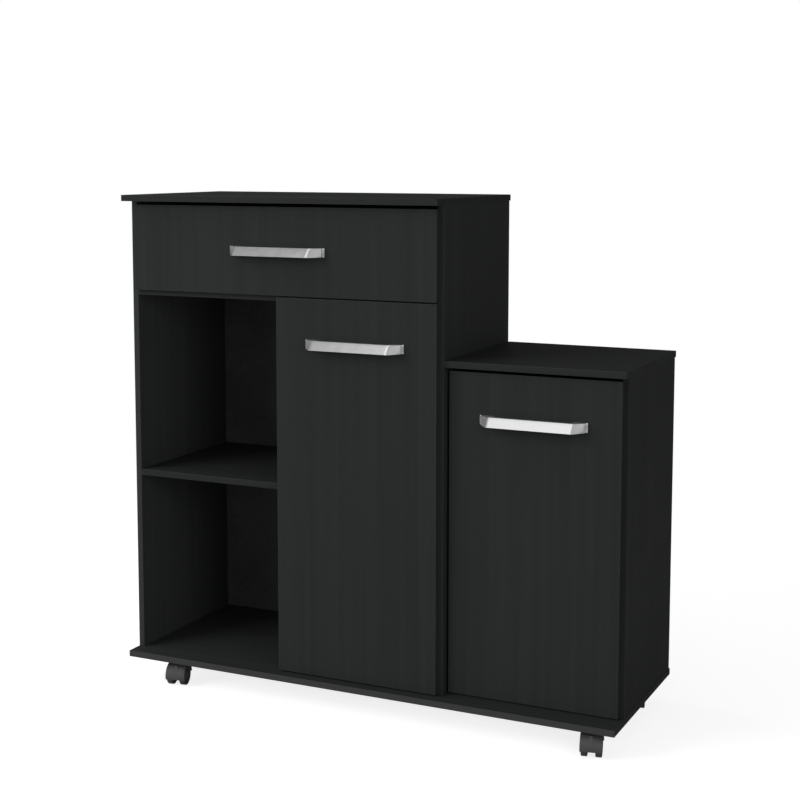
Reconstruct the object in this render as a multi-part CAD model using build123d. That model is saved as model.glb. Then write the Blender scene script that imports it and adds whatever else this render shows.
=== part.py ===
from build123d import *
import os

# Microwave cabinet on casters: a tall section with a drawer, an open niche and a cupboard,
# beside a lower cupboard, both on one base board. Millimetres, X to the right, Y to the back, Z up.
# The origin is on the floor under the middle of the overall width and depth.

# Carcass
board = 12.0
base_width = 1000.0
base_depth = 358.0
back_thickness = 3.0
side_lip = 1.0
tall_width = 665.6
tall_side_height = 892.0
low_side_height = 603.0
tall_front_setback = 34.0
low_front_setback = 60.5
low_top_setback = 34.5
niche_share = 0.5
shelf_height = 350.0
back_panel_margin = 2.0
back_recess = 1.0

# Fronts
front_thickness = 12.0
front_air_gap = 1.0
side_overlay = 3.0
door_foot_gap = 3.0
top_gap = 7.0
drawer_front_height = 165.0
front_to_front_gap = 3.0
deck_drop = 1.0
low_door_side_gap = 5.5

# Handles
handle_length = 200.0
handle_height = 19.0
handle_leg_length = 26.5
handle_leg_depth = 14.0
handle_face_length = 155.0
handle_top_reach = 19.0
handle_low_reach = 33.0
handle_bar_thickness = 8.0
handle_drop = 83.5

# Drawer
runner_space = 12.5
drawer_wall = 12.0
drawer_side_height = 110.0
drawer_rear_clearance = 21.0
drawer_bottom_thickness = 3.0
drawer_groove_depth = 5.0
drawer_groove_height = 10.0
drawer_floor_gap = 16.0
fit_gap = 0.3

# Runners
runner_sheet = 1.2
runner_front_inset = 2.0
roller_radius = 8.0
roller_width = 6.0
roller_bore_radius = 2.5
roller_web_gap = 2.0
rolling_gap = 0.15
rivet_play = 0.06

# Concealed hinges
cup_radius = 13.0
cup_depth = 9.0
cup_wall = 1.0
cup_play = 0.05
cup_edge_distance = 4.0
cup_flange_thickness = 0.7
cup_wing_height = 46.0
cup_wing_width = 12.0
pivot_inset = 0.5
link_inner_radius = 9.0
link_outer_radius = 13.5
link_width = 7.0
link_start_angle = 122.0
link_end_angle = 212.0
link_foot_depth = 4.5
arm_width = 11.0
arm_sheet = 1.0
arm_stand_off = 14.0
arm_length = 58.0
arm_nose_depth = 7.0
arm_nose_inset = 2.25
plate_thickness = 2.0
plate_width = 18.0
plate_height = 46.0
plate_setback = 28.0
hinge_end_distance = 95.0

# Casters
caster_height = 50.0
caster_left_inset = 95.0
caster_right_inset = 52.0
caster_front_inset = 43.0
caster_rear_inset = 50.0
caster_plate_size = 40.0
caster_plate_thickness = 2.0
caster_swivel_angle = 12.5
caster_trail = 17.0
wheel_radius = 20.0
wheel_width = 10.5
wheel_gap = 15.0
wheel_flats = 48
axle_radius = 2.5
axle_play = 0.06
hood_wall = 1.4
hood_clearance = 0.9
hood_web_clearance = 1.0
hood_side_wall = 1.5
hood_neck_depth = 8.0
hood_floor_gap = 8.0
hood_slope = 9.0
stem_radius = 4.0
stem_length = 5.0
stem_play = 0.05
socket_radius = 9.0
socket_height = 6.0
swivel_gap = 0.3

# Shelf supports
support_width = 14.0
support_reach = 12.0
support_height = 12.0
support_thickness = 1.6
support_inset = 45.0

# Levels
base_bottom = caster_height
base_top = base_bottom + board
tall_side_top = base_top + tall_side_height
tall_top = tall_side_top + board
low_side_top = base_top + low_side_height
low_top = low_side_top + board
shelf_bottom = base_top + shelf_height
shelf_top = shelf_bottom + board
drawer_front_top = tall_side_top - top_gap
drawer_front_bottom = drawer_front_top - drawer_front_height
deck_top = drawer_front_bottom + deck_drop
deck_bottom = deck_top - board
tall_door_top = drawer_front_bottom - front_to_front_gap
door_bottom = base_top + door_foot_gap
low_door_top = low_side_top - top_gap

# Depths, counted from the front edge of the base board
handle_overhang = handle_low_reach - (tall_front_setback - front_air_gap - front_thickness)
base_front = -(base_depth - handle_overhang) / 2
base_rear = base_front + base_depth
panel_rear = base_rear - back_recess
side_rear = panel_rear - back_thickness
tall_front = base_front + tall_front_setback
tall_face_back = tall_front - front_air_gap
tall_face = tall_face_back - front_thickness
low_front = base_front + low_front_setback
low_face_back = low_front - front_air_gap

# Widths
base_left = -base_width / 2
base_right = base_width / 2
left_outer = base_left + side_lip
left_inner = left_outer + board
tall_right = base_left + tall_width
shared_outer = tall_right - side_lip
shared_inner = shared_outer - board
right_outer = base_right - side_lip
right_inner = right_outer - board
divider_left = left_inner + (shared_inner - left_inner - board) * niche_share
divider_right = divider_left + board
back_joint = shared_outer - board / 2
reveal = board - side_overlay
drawer_front_left = left_outer + reveal
tall_edge = shared_outer - reveal
tall_door_left = divider_left + side_overlay
low_door_left = shared_outer + low_door_side_gap
low_edge = right_outer - reveal
drawer_middle = (drawer_front_left + tall_edge) / 2
drawer_front_middle_height = (drawer_front_bottom + drawer_front_top) / 2

# Drawer box
box_left = left_inner + runner_space
box_right = shared_inner - runner_space
box_front = tall_face_back
box_rear = side_rear - drawer_rear_clearance
box_bottom = deck_top + drawer_floor_gap
box_top = box_bottom + drawer_side_height
box_floor_bottom = box_bottom + drawer_groove_height
box_floor_top = box_floor_bottom + drawer_bottom_thickness

# Rollers and runner tracks
roller_axis_height = box_bottom + runner_sheet
track_top = roller_axis_height + roller_radius + rolling_gap
track_bottom = roller_axis_height - roller_radius - rolling_gap
runner_front = tall_front + runner_front_inset
runner_rear = runner_front + box_rear - box_front
front_roller_y = runner_front + roller_radius + roller_web_gap
rear_roller_y = box_rear - roller_radius - roller_web_gap

# The hinged doors
doors = {
    "tall_door": {
        "left": tall_door_left,
        "edge": tall_edge,
        "back": tall_face_back,
        "top": tall_door_top,
        "handle": tall_door_top - handle_drop,
    },
    "low_door": {
        "left": low_door_left,
        "edge": low_edge,
        "back": low_face_back,
        "top": low_door_top,
        "handle": low_door_top - handle_drop,
    },
}

# Casters, the middle of each swivel stem
caster_stems = {
    "front_left": (base_left + caster_left_inset, base_front + caster_front_inset),
    "front_right": (base_right - caster_right_inset, base_front + caster_front_inset),
    "rear_left": (base_left + caster_left_inset, base_rear - caster_rear_inset),
    "rear_right": (base_right - caster_right_inset, base_rear - caster_rear_inset),
}

# Levels inside a caster
plate_bottom = caster_height - caster_plate_thickness
socket_bottom = plate_bottom - socket_height
hood_top = socket_bottom - swivel_gap
hood_half_width = wheel_gap / 2 + wheel_width + hood_side_wall


def slab(x0, x1, y0, y1, z0, z1):
    """A rectangular solid between its limits."""
    size = Box(x1 - x0, y1 - y0, z1 - z0)
    return Pos((x0 + x1) / 2, (y0 + y1) / 2, (z0 + z1) / 2) * size


def rod(radius, start, end):
    """A round bar between two points that differ along one axis."""
    line = Vector(*end) - Vector(*start)
    plane = Plane(origin=start, z_dir=line)
    return extrude(plane * Circle(radius), line.length)


def wheel_disc(radius, start, end):
    """A disc of many narrow flats, which stand at the radius; one of them lies at the bottom."""
    line = Vector(*end) - Vector(*start)
    outline = RegularPolygon(radius, wheel_flats, major_radius=False, rotation=180 / wheel_flats)
    return extrude(Plane(origin=start, z_dir=line) * outline, line.length)


def group(solids):
    """Separate solids that share one node."""
    return Compound(children=list(solids))


def hinge_heights(name):
    """The heights of a door's two hinges."""
    return (door_bottom + hinge_end_distance, doors[name]["top"] - hinge_end_distance)


def hinge_place(name, z):
    """A hinge's own frame: the door's back corner at the hinge edge, at the hinge's height."""
    return Pos(doors[name]["edge"], doors[name]["back"], z)


def shelf_support(face, side, y):
    """An angle under the cupboard shelf, on a panel's face; side is the way that the face looks."""
    half = support_width / 2
    low = shelf_bottom - support_height
    x0, x1 = sorted((face, face + side * support_thickness))
    upright = slab(x0, x1, y - half, y + half, low, shelf_bottom)
    x0, x1 = sorted((face, face + side * support_reach))
    pad = slab(x0, x1, y - half, y + half, shelf_bottom - support_thickness, shelf_bottom)
    return upright + pad


def shelf_supports():
    """The four angles under the cupboard shelf."""
    rows = (tall_front + support_inset, side_rear - support_inset)
    sides = ((divider_right, 1), (shared_inner, -1))
    return group(shelf_support(face, side, y) for face, side in sides for y in rows)


def base_board():
    """The one board that carries both sections."""
    return slab(base_left, base_right, base_front, base_rear, base_bottom, base_top)


def left_side_panel():
    """The tall section's left side."""
    return slab(left_outer, left_inner, tall_front, side_rear, base_top, tall_side_top)


def centre_divider():
    """The upright between the niche and the cupboard."""
    return slab(divider_left, divider_right, tall_front, side_rear, base_top, deck_bottom)


def shared_side_panel():
    """The tall section's right side, which closes the low section on its left."""
    return slab(shared_inner, shared_outer, tall_front, side_rear, base_top, tall_side_top)


def right_side_panel():
    """The low section's right side."""
    return slab(right_inner, right_outer, low_front, side_rear, base_top, low_side_top)


def tall_top_board():
    """The top of the tall section, where an oven stands."""
    return slab(base_left, tall_right, base_front, base_rear, tall_side_top, tall_top)


def low_top_board():
    """The top of the low section, between the shared panel and the right end."""
    front = base_front + low_top_setback
    return slab(shared_outer, base_right, front, base_rear, low_side_top, low_top)


def drawer_deck_board():
    """The fixed board under the drawer."""
    return slab(left_inner, shared_inner, tall_front, side_rear, deck_bottom, deck_top)


def niche_shelf():
    """The fixed shelf in the open niche."""
    return slab(left_inner, divider_left, tall_front, side_rear, shelf_bottom, shelf_top)


def cupboard_shelf():
    """The loose shelf behind the tall door, on four supports."""
    front = tall_front + plate_setback
    left, right = divider_right + fit_gap, shared_inner - fit_gap
    return slab(left, right, front, side_rear - fit_gap, shelf_bottom, shelf_top)


def tall_back_panel():
    """The thin back of the tall section, on the rear edges of its uprights."""
    left = left_outer + back_panel_margin
    return slab(left, back_joint, side_rear, panel_rear, base_top, tall_side_top)


def low_back_panel():
    """The thin back of the low section, beside the tall one."""
    right = right_outer - back_panel_margin
    return slab(back_joint + fit_gap, right, side_rear, panel_rear, base_top, low_side_top)


def handle_section(x):
    """The bar's cross-section at one place along its length, from the front's face outwards."""
    half = handle_height / 2
    points = [(x, 0, half), (x, -handle_top_reach, half), (x, -handle_low_reach, -half), (x, 0, -half)]
    return Face(Wire.make_polygon([Vector(*p) for p in points], close=True))


def handle_end(side):
    """One end of a handle: flat facets run back from the sloping bar to a short upright end."""
    near, far = side * handle_face_length / 2, side * handle_length / 2
    half = handle_height / 2
    a, b = (near, 0, half), (near, -handle_top_reach, half)
    c, d = (near, -handle_low_reach, -half), (near, 0, -half)
    e, f = (far, 0, half), (far, -handle_leg_depth, half)
    g, h = (far, -handle_leg_depth, -half), (far, 0, -half)
    outlines = [(a, b, c, d), (e, f, g, h), (a, b, f, e), (d, c, g, h), (a, d, h, e), (b, c, f), (c, g, f)]
    faces = [Face(Wire.make_polygon([Vector(*p) for p in points], close=True)) for points in outlines]
    return Solid(Shell(faces))


def handle_gap():
    """The finger gap behind the bar, between the two legs."""
    rise = handle_height
    slope = (handle_low_reach - handle_top_reach) / handle_height
    top_back = handle_top_reach - handle_bar_thickness - slope * rise / 2
    low_back = handle_low_reach - handle_bar_thickness + slope * rise / 2
    half = handle_length / 2 - handle_leg_length
    points = [(-half, 0, rise), (-half, -top_back, rise), (-half, -low_back, -rise), (-half, 0, -rise)]
    face = Face(Wire.make_polygon([Vector(*p) for p in points], close=True))
    return extrude(face, 2 * half, dir=(1, 0, 0))


def handle(middle, face, height):
    """A faceted bridge handle on the face of a front."""
    half = handle_face_length / 2
    bar = extrude(handle_section(-half), 2 * half, dir=(1, 0, 0))
    body = bar + handle_end(-1) + handle_end(1)
    return Pos(middle, face, height) * (body - handle_gap())


def drawer_floor_groove(side):
    """The groove along a drawer side that holds the drawer's bottom."""
    inner = box_left + drawer_wall if side < 0 else box_right - drawer_wall
    x0, x1 = sorted((inner, inner + side * drawer_groove_depth))
    return slab(x0, x1, box_front, box_rear, box_floor_bottom, box_floor_top + fit_gap)


def drawer_front():
    """The wide overlay front of the drawer."""
    bottom, top = drawer_front_bottom, drawer_front_top
    panel = slab(drawer_front_left, tall_edge, tall_face, tall_face_back, bottom, top)
    groove = slab(
        box_left + drawer_wall - drawer_groove_depth,
        box_right - drawer_wall + drawer_groove_depth,
        tall_face_back - drawer_groove_depth,
        tall_face_back,
        box_floor_bottom,
        box_floor_top + fit_gap,
    )
    return panel - groove


def drawer_side(side):
    """One side of the drawer box, grooved for the bottom; side is -1 for the left one."""
    outer = box_left if side < 0 else box_right
    x0, x1 = sorted((outer, outer - side * drawer_wall))
    return slab(x0, x1, box_front, box_rear, box_bottom, box_top) - drawer_floor_groove(side)


def drawer_back():
    """The back of the drawer box, above the bottom panel."""
    x0, x1 = box_left + drawer_wall, box_right - drawer_wall
    return slab(x0, x1, box_rear - drawer_wall, box_rear, box_floor_top, box_top)


def drawer_bottom():
    """The thin bottom of the drawer, held in grooves on three sides."""
    edge = drawer_groove_depth - fit_gap
    return slab(
        box_left + drawer_wall - edge,
        box_right - drawer_wall + edge,
        box_front - edge,
        box_rear,
        box_floor_bottom,
        box_floor_top,
    )


def drawer_runner(side):
    """The drawer's runner member: an angle under the side, with a track that lies on the front roller."""
    outer = box_left if side < 0 else box_right

    def strip(x_from, x_to, z0, z1):
        """A strip along the whole drawer side, measured outwards from the side's outer face."""
        x0, x1 = sorted((outer + side * x_from, outer + side * x_to))
        return slab(x0, x1, box_front, box_rear, z0, z1)

    foot = box_bottom - runner_sheet
    web = strip(0, runner_sheet, foot, track_top + runner_sheet)
    seat = strip(-drawer_wall, runner_sheet, foot, box_bottom)
    track = strip(0, runner_space / 2, track_top, track_top + runner_sheet)
    pin_end = runner_space - roller_inset() + fit_gap / 2
    y, z = rear_roller_y, roller_axis_height
    pin = rod(roller_bore_radius, (outer, y, z), (outer + side * pin_end, y, z))
    return web + seat + track + pin


def roller_inset():
    """How far the rollers stand off the panel's inner face."""
    return (runner_space - roller_width) / 2


def cabinet_runner(side):
    """The cabinet's runner member: a channel on the panel, with the front roller's pin."""
    face = left_inner if side < 0 else shared_inner

    def strip(x_from, x_to, z0, z1):
        """A strip along the member's whole length, measured inwards from the panel's face."""
        x0, x1 = sorted((face - side * x_from, face - side * x_to))
        return slab(x0, x1, runner_front, runner_rear, z0, z1)

    web = strip(0, runner_sheet, track_bottom - runner_sheet, track_top + runner_sheet)
    floor = strip(0, runner_space - 2 * runner_sheet, track_bottom - runner_sheet, track_bottom)
    guard = strip(0, runner_space / 2 - runner_sheet, track_top, track_top + runner_sheet)
    y, z = front_roller_y, roller_axis_height
    pin_end = roller_inset() + roller_width + fit_gap
    pin = rod(roller_bore_radius, (face, y, z), (face - side * pin_end, y, z))
    return web + floor + guard + pin


def roller(side, y):
    """A nylon roller beside one panel."""
    face = left_inner if side < 0 else shared_inner
    near = face - side * roller_inset()
    far = near - side * roller_width
    wheel = rod(roller_radius, (near, y, roller_axis_height), (far, y, roller_axis_height))
    bore = rod(roller_bore_radius + rivet_play, (near, y, roller_axis_height), (far, y, roller_axis_height))
    return wheel - bore


def rollers(y):
    """The left and right rollers on one line across the drawer."""
    return group(roller(side, y) for side in (-1, 1))


def cup_centre():
    """How far the cup's middle stands from the door's hinge edge."""
    return -(cup_edge_distance + cup_radius)


def upright_cylinder(radius, y0, y1, x, z=0.0):
    """A cylinder square to the door, between two depths from the door's back."""
    return rod(radius, (x, y0, z), (x, y1, z))


def hinge_cup():
    """A pressed cup in the door's back, with two wings that lie on it."""
    x = cup_centre()
    thickness = cup_flange_thickness
    outside = upright_cylinder(cup_radius, -cup_depth, thickness, x)
    across, up = cup_wing_width / 2, cup_wing_height / 2
    wings = slab(x - across, x + across, 0, thickness, -up, up)
    inside = upright_cylinder(cup_radius - cup_wall, cup_wall - cup_depth, thickness, x)
    return outside + wings - inside


def hinge_link():
    """The curved link that carries the cup, bent about the hinge's axis to stay in the arm's fork."""
    turn = link_end_angle - link_start_angle
    plane = Plane(origin=(0, -pivot_inset, -link_width / 2), x_dir=(1, 0, 0), z_dir=(0, 0, 1))
    outer = CenterArc((0, 0), link_outer_radius, link_start_angle, turn)
    inner = CenterArc((0, 0), link_inner_radius, link_start_angle, turn)
    ends = [Line(outer @ 0, inner @ 0), Line(outer @ 1, inner @ 1)]
    face = make_face(plane * (Curve() + [outer, inner] + ends))
    sector = extrude(face, link_width, dir=(0, 0, 1))
    half = link_width / 2
    foot = slab(-link_outer_radius, -link_inner_radius, cup_wall - cup_depth, -link_foot_depth, -half, half)
    return sector + foot


def hinge_plate():
    """The cross-shaped mounting plate on the panel's inner face."""
    x0, x1 = -side_overlay - plate_thickness, -side_overlay
    y0 = front_air_gap + plate_setback
    wings = slab(x0, x1, y0, y0 + plate_width, -plate_height / 2, plate_height / 2)
    return wings + slab(x0, x1, y0, arm_length, -arm_width / 2, arm_width / 2)


def hinge_arm():
    """The arm from the plate to the cup: a channel with a forked nose that reaches into the cup."""
    near = -side_overlay - plate_thickness
    far = -side_overlay - arm_stand_off
    half = arm_width / 2
    body = slab(far, near, link_outer_radius, arm_length, -half, half)
    nose = slab(far, near - arm_nose_inset, -arm_nose_depth, link_outer_radius, -half, half)
    inner = half - arm_sheet
    return body + nose - slab(far + arm_sheet, near, -arm_nose_depth, arm_length, -inner, inner)


def hinge_parts(name, part):
    """One part of a door's hinges, at both of its heights."""
    return [hinge_place(name, z) * part for z in hinge_heights(name)]


def door(name):
    """A door with the holes that its hinge cups sit in."""
    limits = doors[name]
    back = limits["back"]
    face = back - front_thickness
    panel = slab(limits["left"], limits["edge"], face, back, door_bottom, limits["top"])
    hole = upright_cylinder(cup_radius + cup_play, -cup_depth, 0, cup_centre())
    return panel - hinge_parts(name, hole)


def door_middle(name):
    """The middle of a door's width, where its handle is centred."""
    return (doors[name]["left"] + doors[name]["edge"]) / 2


def caster_plate(x, y):
    """A square plate with the socket that the swivel stem turns in."""
    half = caster_plate_size / 2
    plate = slab(x - half, x + half, y - half, y + half, plate_bottom, caster_height)
    socket = rod(socket_radius, (x, y, socket_bottom), (x, y, plate_bottom))
    bore_end = hood_top + stem_length + swivel_gap
    return plate + socket - rod(stem_radius + stem_play, (x, y, socket_bottom), (x, y, bore_end))


def caster_place(name):
    """Where one caster's swivelling part stands, turned as the photographed ones are."""
    x, y = caster_stems[name]
    return Pos(x, y, 0) * Rot(0, 0, caster_swivel_angle)


def caster_hood(name):
    """The moulded hood over both wheels, with its swivel stem and the wheels' axle."""
    y, z = -caster_trail, wheel_radius
    inside = wheel_radius + hood_clearance
    outside = inside + hood_wall
    web = wheel_gap / 2 - hood_web_clearance
    drum = rod(outside, (-hood_half_width, y, z), (hood_half_width, y, z))
    body = drum + slab(-web, web, y, hood_neck_depth, z, hood_top)
    for side in (-1, 1):
        body -= wheel_disc(inside, (side * web, y, z), (side * hood_half_width, y, z))
    below = slab(-outside, outside, -outside, 3 * outside, -outside, 0)
    body -= Pos(0, y - outside, hood_floor_gap) * Rot(hood_slope, 0, 0) * below
    stem = rod(stem_radius, (0, 0, hood_top), (0, 0, hood_top + stem_length))
    reach = wheel_gap / 2 + wheel_width
    axle = rod(axle_radius, (-reach, y, z), (reach, y, z))
    return caster_place(name) * (body + stem + axle)


def caster_wheel(name, side):
    """One wheel, bored to turn on the hood's axle."""
    y, z = -caster_trail, wheel_radius
    near, far = side * wheel_gap / 2, side * (wheel_gap / 2 + wheel_width)
    disc = wheel_disc(wheel_radius, (near, y, z), (far, y, z))
    bore = rod(axle_radius + axle_play, (near, y, z), (far, y, z))
    return caster_place(name) * (disc - bore)


def save(node, solid):
    """Writes one named node."""
    export_step(solid, os.path.join("parts", node + ".step"))


def save_carcass():
    """The boards and fittings that stay still."""
    boards = (
        base_board,
        left_side_panel,
        centre_divider,
        shared_side_panel,
        right_side_panel,
        tall_top_board,
        low_top_board,
        drawer_deck_board,
        niche_shelf,
        cupboard_shelf,
        tall_back_panel,
        low_back_panel,
    )
    for make in boards:
        save(make.__name__, make())
    save("shelf_supports", shelf_supports())
    save("left_cabinet_runner", cabinet_runner(-1))
    save("right_cabinet_runner", cabinet_runner(1))
    save("hinge_plates", group(plate for name in doors for plate in hinge_parts(name, hinge_plate())))
    save("hinge_arms", group(arm for name in doors for arm in hinge_parts(name, hinge_arm())))
    save("caster_plates", group(caster_plate(x, y) for x, y in caster_stems.values()))


def save_drawer():
    """The drawer and the rollers that it runs on."""
    save("drawer_front", drawer_front())
    save("drawer_left_side", drawer_side(-1))
    save("drawer_right_side", drawer_side(1))
    save("drawer_back", drawer_back())
    save("drawer_bottom", drawer_bottom())
    save("drawer_handle", handle(drawer_middle, tall_face, drawer_front_middle_height))
    save("left_drawer_runner", drawer_runner(-1))
    save("right_drawer_runner", drawer_runner(1))
    save("front_rollers", rollers(front_roller_y))
    save("rear_rollers", rollers(rear_roller_y))


def save_doors():
    """Both doors with their handles and hinge cups."""
    for name, limits in doors.items():
        face = limits["back"] - front_thickness
        save(name, door(name))
        save(name + "_handle", handle(door_middle(name), face, limits["handle"]))
        save(name + "_hinge_cups", group(hinge_parts(name, hinge_cup())))
        save(name + "_hinge_links", group(hinge_parts(name, hinge_link())))


def save_casters():
    """Four swivelling casters with two wheels each."""
    for name in caster_stems:
        save(name + "_caster_hood", caster_hood(name))
        save(name + "_caster_left_wheel", caster_wheel(name, -1))
        save(name + "_caster_right_wheel", caster_wheel(name, 1))


os.makedirs("parts", exist_ok=True)
save_carcass()
save_drawer()
save_doors()
save_casters()
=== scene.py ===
"""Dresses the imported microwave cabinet: its boards, handles, hinges, runners and casters."""
import logging
import math
from dataclasses import dataclass
from enum import Enum
from typing import Callable, Iterable, Sequence

import bmesh
import bpy
from mathutils import Matrix, Vector


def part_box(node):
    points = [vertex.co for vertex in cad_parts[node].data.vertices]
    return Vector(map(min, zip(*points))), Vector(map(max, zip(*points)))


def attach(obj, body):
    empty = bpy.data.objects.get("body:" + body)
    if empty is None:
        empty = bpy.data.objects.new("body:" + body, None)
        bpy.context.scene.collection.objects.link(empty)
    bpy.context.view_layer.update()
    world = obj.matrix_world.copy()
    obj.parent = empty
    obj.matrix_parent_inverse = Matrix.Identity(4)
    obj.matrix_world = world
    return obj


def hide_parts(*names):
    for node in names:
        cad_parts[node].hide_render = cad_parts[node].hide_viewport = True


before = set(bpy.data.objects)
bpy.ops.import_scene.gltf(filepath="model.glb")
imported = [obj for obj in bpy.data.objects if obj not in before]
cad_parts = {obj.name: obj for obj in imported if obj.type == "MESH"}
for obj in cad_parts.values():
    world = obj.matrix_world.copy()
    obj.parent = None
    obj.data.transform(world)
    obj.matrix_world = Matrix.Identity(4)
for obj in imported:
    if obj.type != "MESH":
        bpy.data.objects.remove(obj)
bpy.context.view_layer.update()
LOG = logging.getLogger("cabinet")
Colour = tuple[float, float, float]
Ramp = tuple[float, float, float, float]
Socket = bpy.types.NodeSocket
Material = bpy.types.Material

# How near to a place, in metres, and how far along an axis counts as there in a selection test
NEAR = 1e-4
ALONG = 0.9

# Directions in which fasteners' heads point
BACKWARD = (0.0, 1.0, 0.0)
DOWNWARD = (0.0, 0.0, -1.0)
LEFTWARD = (-1.0, 0.0, 0.0)

WHITE = (1.0, 1.0, 1.0, 1.0)


class Axis(Enum):
    """A direction along which a round piece or a grain lies."""

    X = (1.0, 0.0, 0.0)
    Y = (0.0, 1.0, 0.0)
    Z = (0.0, 0.0, 1.0)


class Element(Enum):
    """What a selection picks in edit mode."""

    FACE = "FACE"
    EDGE = "EDGE"
    POINT = "VERT"


class Joining(Enum):
    """How one solid is combined with another."""

    CUT = "DIFFERENCE"
    ADD = "UNION"


@dataclass(frozen=True)
class Spot:
    """One mesh element as a selection test sees it: its place and its direction."""

    place: Vector
    way: Vector


Test = Callable[[Spot], bool]


def turn_to(way: Sequence[float]) -> Matrix:
    """The turn that lays a piece's own upright along a direction."""
    return Vector((0, 0, 1)).rotation_difference(Vector(way)).to_matrix().to_4x4()


def arrange(thing: bpy.types.bpy_struct, values: dict[str, object]) -> None:
    """Sets several values of one Blender thing, in order."""
    for key, value in values.items():
        setattr(thing, key, value)


class Model:
    """One piece on the bench, shaped with Blender's own modelling tools."""

    def __init__(self, name: str, thing: bpy.types.Object) -> None:
        """Takes an object in hand and names it."""
        self.name = thing.name = name
        self.thing = thing

    @classmethod
    def block(cls, name: str, low: Sequence[float], high: Sequence[float]) -> "Model":
        """Adds a box between two corners.

        Args:
            name: The piece's name.
            low: The lowest corner.
            high: The highest corner.

        Returns:
            The box, ready to be shaped.
        """
        a, b = Vector(low), Vector(high)
        bpy.ops.object.select_all(action="DESELECT")
        bpy.ops.mesh.primitive_cube_add(size=1, location=(a + b) / 2, scale=b - a)
        bpy.ops.object.transform_apply(location=True, rotation=True, scale=True)
        return cls(name, bpy.context.active_object)

    @classmethod
    def disc(
        cls, name: str, radius: float, start: Sequence[float], depth: float, axis: Axis, sides: int = 48
    ) -> "Model":
        """Adds a round bar that begins at a point and runs along an axis.

        Args:
            name: The piece's name.
            radius: The bar's radius.
            start: The middle of its first end.
            depth: Its length; a negative one runs the other way.
            axis: The axis it lies along.
            sides: How many sides its round has.

        Returns:
            The bar, ready to be shaped.
        """
        middle = Vector(start) + Vector(axis.value) * depth / 2
        bpy.ops.object.select_all(action="DESELECT")
        bpy.ops.mesh.primitive_cylinder_add(
            vertices=sides, radius=radius, depth=abs(depth), location=middle, rotation=turn_to(axis.value).to_euler()
        )
        bpy.ops.object.transform_apply(location=True, rotation=True, scale=True)
        return cls(name, bpy.context.active_object)

    def hold(self) -> None:
        """Makes this the only selected and active object."""
        bpy.ops.object.select_all(action="DESELECT")
        self.thing.select_set(True)
        bpy.context.view_layer.objects.active = self.thing

    def __enter__(self) -> "Model":
        """Opens the piece in edit mode.

        Returns:
            The same model.
        """
        self.hold()
        bpy.ops.object.mode_set(mode="EDIT")
        return self

    def __exit__(self, *_: object) -> None:
        """Closes edit mode."""
        bpy.ops.object.mode_set(mode="OBJECT")

    def pick(self, kind: Element, test: Test) -> "Model":
        """Selects what passes a test, and nothing else.

        Args:
            kind: Faces, edges or points.
            test: Says whether an element is wanted, from its place and its direction.

        Returns:
            The same model, so that a tool can follow.
        """
        bpy.ops.mesh.select_mode(type=kind.value)
        bpy.ops.mesh.select_all(action="DESELECT")
        mesh = bmesh.from_edit_mesh(self.thing.data)
        for element in {Element.FACE: mesh.faces, Element.EDGE: mesh.edges, Element.POINT: mesh.verts}[kind]:
            element.select_set(test(self.spot(element)))
        mesh.select_flush_mode()
        bmesh.update_edit_mesh(self.thing.data)
        return self

    @staticmethod
    def spot(element: bmesh.types.BMFace | bmesh.types.BMEdge | bmesh.types.BMVert) -> Spot:
        """Finds where an element is and which way it points; an edge's way is along it.

        Args:
            element: The face, edge or point.

        Returns:
            Its place and direction.
        """
        if isinstance(element, bmesh.types.BMFace):
            return Spot(element.calc_center_median(), element.normal.copy())
        if isinstance(element, bmesh.types.BMEdge):
            a, b = (v.co for v in element.verts)
            return Spot((a + b) / 2, (b - a).normalized())
        return Spot(element.co.copy(), element.normal.copy())

    def faces(self, test: Test) -> "Model":
        """Selects faces by a test."""
        return self.pick(Element.FACE, test)

    def edges(self, test: Test) -> "Model":
        """Selects edges by a test."""
        return self.pick(Element.EDGE, test)

    def points(self, test: Test) -> "Model":
        """Selects points by a test."""
        return self.pick(Element.POINT, test)

    def move(self, by: Sequence[float]) -> "Model":
        """Moves what is selected."""
        bpy.ops.transform.translate(value=by)
        return self

    def scale(self, by: Sequence[float], about: Sequence[float]) -> "Model":
        """Scales what is selected about a point."""
        bpy.ops.transform.resize(value=by, center_override=tuple(about))
        return self

    def extrude(self, by: Sequence[float]) -> "Model":
        """Pulls the selected faces out as one region."""
        bpy.ops.mesh.extrude_region_move(TRANSFORM_OT_translate={"value": tuple(by)})
        return self

    def inset(self, width: float, depth: float = 0.0) -> "Model":
        """Insets the selected faces, and sinks or lifts them."""
        bpy.ops.mesh.inset(thickness=width, depth=depth)
        return self

    def bevel(self, width: float, steps: int = 2) -> "Model":
        """Bevels the selected edges."""
        bpy.ops.mesh.bevel(offset=width, segments=steps, profile=0.5, affect="EDGES")
        return self

    def slice(self, place: Sequence[float], normal: Sequence[float], clear: bool = False) -> "Model":
        """Cuts the whole mesh by a plane.

        Args:
            place: A point on the plane.
            normal: The plane's normal.
            clear: Whether what the normal points to is taken away and the cut closed.

        Returns:
            The same model.
        """
        bpy.ops.mesh.select_all(action="SELECT")
        bpy.ops.mesh.bisect(plane_co=place, plane_no=normal, clear_outer=clear, use_fill=clear)
        return self

    def bore(self) -> "Model":
        """Takes away the two selected end faces and joins their rims into a through hole.

        Returns:
            The same model.
        """
        bpy.ops.mesh.delete(type="ONLY_FACE")
        bpy.ops.mesh.select_mode(type="EDGE")
        mesh = bmesh.from_edit_mesh(self.thing.data)
        for edge in mesh.edges:
            edge.select_set(edge.is_boundary)
        bmesh.update_edit_mesh(self.thing.data)
        bpy.ops.mesh.bridge_edge_loops()
        return self

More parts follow.
